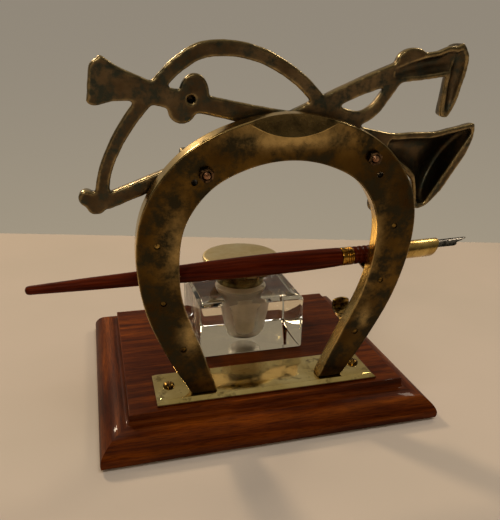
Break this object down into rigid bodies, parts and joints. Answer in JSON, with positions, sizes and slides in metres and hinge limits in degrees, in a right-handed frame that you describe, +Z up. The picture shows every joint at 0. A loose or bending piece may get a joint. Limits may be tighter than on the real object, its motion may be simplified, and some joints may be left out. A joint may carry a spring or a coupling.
{
  "type": "desk inkstand",
  "caption": "Desk inkstand: moulded wooden base, leaning brass horseshoe with pen hooks and a horn-and-whip casting, lidded glass inkwell and dip pen.",
  "frame": {"origin": "centre of the underside of the base, on the desk", "axes": "+Z up, +X along the base and along the pen from its nib to its tail, +Y from the ink bottle towards the horseshoe; the writer sits on the -Y side"},
  "size_m": [0.1805, 0.1243, 0.155],
  "materials": {
    "mahogany": "french polished",
    "baize": "matt wool",
    "plate_brass": "polished",
    "shoe_brass": "brown patina, worn bright on the edges",
    "bronze": "dark cast bronze",
    "steel": "darkened",
    "glass": "clear, polished",
    "holder_wood": "stained and varnished"
  },
  "bodies": {
    "base": {"plinth": "mahogany", "baize_pad": "baize", "foot_plate": "plate_brass", "plate_screw_left": "plate_brass", "plate_screw_right": "plate_brass", "horseshoe": "shoe_brass", "heel_screw_left": "steel", "heel_screw_right": "steel", "hunting_trophy": "bronze", "trophy_stud_left": "steel", "trophy_stud_right": "steel", "trophy_nut_left": "steel", "trophy_nut_right": "steel", "pen_hook_upper_left": "plate_brass", "pen_hook_middle_left": "plate_brass", "pen_hook_lower_left": "plate_brass", "pen_hook_upper_right": "plate_brass", "pen_hook_middle_right": "plate_brass", "pen_hook_lower_right": "plate_brass"},
    "bottle": {"ink_bottle": "glass", "bottle_collar": "plate_brass", "lid_hinge_pin": "plate_brass"},
    "lid": {"lid": "plate_brass"},
    "pen": {"pen_holder": "holder_wood", "pen_ferrule": "plate_brass", "pen_grip": "holder_wood", "nib_socket": "plate_brass"},
    "nib": {"nib": "steel"}
  },
  "joints": [
    {"name": "bottle_lift", "type": "slide", "parent": "base", "child": "bottle", "axis": [0, 0, 1], "range_m": [0, 0.04]},
    {"name": "lid_hinge", "type": "hinge", "parent": "bottle", "child": "lid", "pos_m": [-0.0009, 0.0074, 0.0537], "axis": [-1, 0, 0], "range_deg": [0, 110]},
    {"name": "pen_lift", "type": "slide", "parent": "base", "child": "pen", "axis": [0, 0.1702, 0.9854], "range_m": [0, 0.012]},
    {"name": "nib_pull", "type": "slide", "parent": "pen", "child": "nib", "axis": [-0.9995, 0, 0.0317], "range_m": [0, 0.009]}
  ]
}
